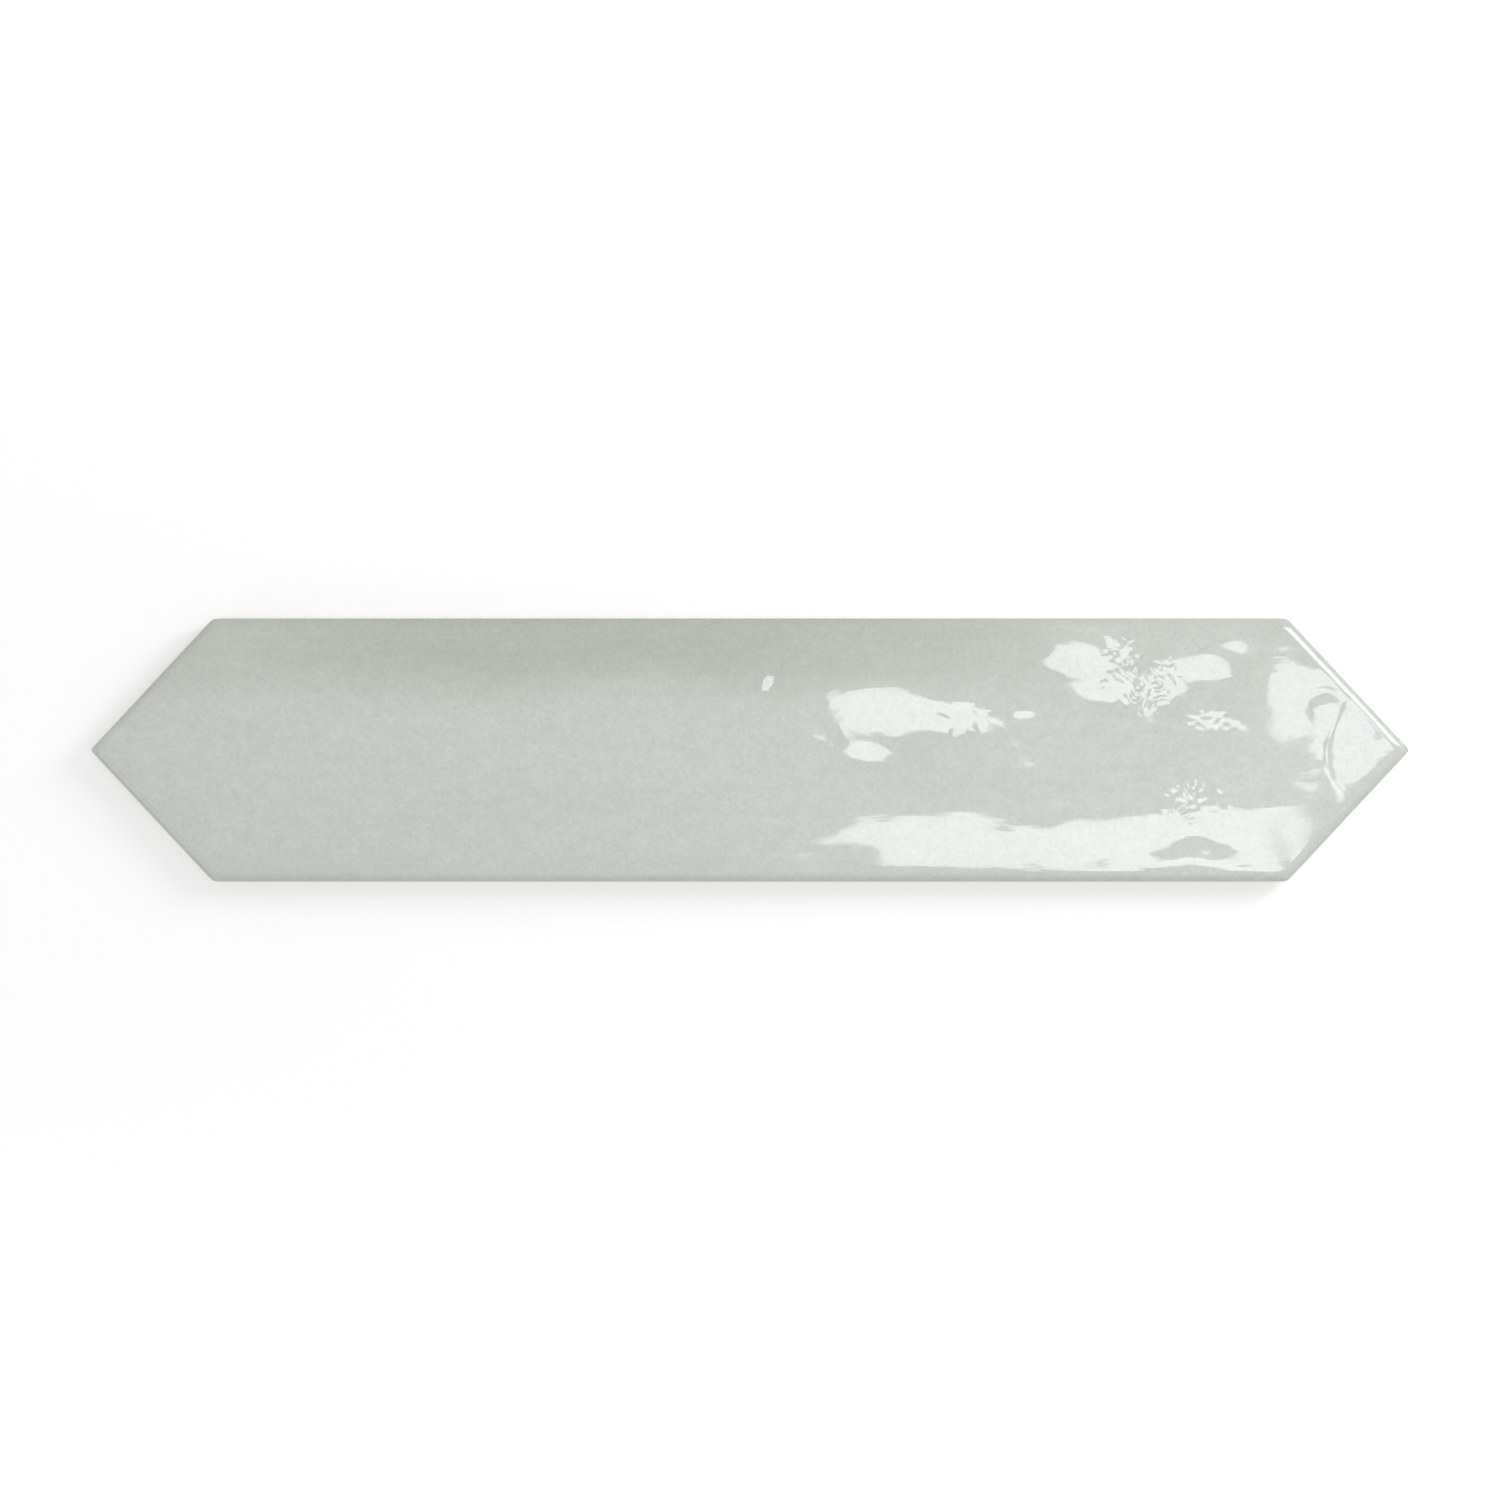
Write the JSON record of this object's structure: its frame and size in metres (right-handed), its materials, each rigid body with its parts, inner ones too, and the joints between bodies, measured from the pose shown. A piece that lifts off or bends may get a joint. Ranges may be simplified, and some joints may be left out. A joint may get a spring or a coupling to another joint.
{
  "type": "elongated hexagon tile",
  "caption": "Long hexagonal picket wall tile with pointed ends, a cushioned gloss-glazed face with soft edges, and a grooved back for adhesive.",
  "frame": {"origin": "middle of the back, on the plane of its ribs and rim", "axes": "+X from tip to tip, +Y across the width, +Z out of the glazed face"},
  "size_m": [0.25, 0.05, 0.0085],
  "materials": {
    "tile": "gloss"
  },
  "bodies": {
    "root": {"tile": "tile"}
  },
  "joints": []
}
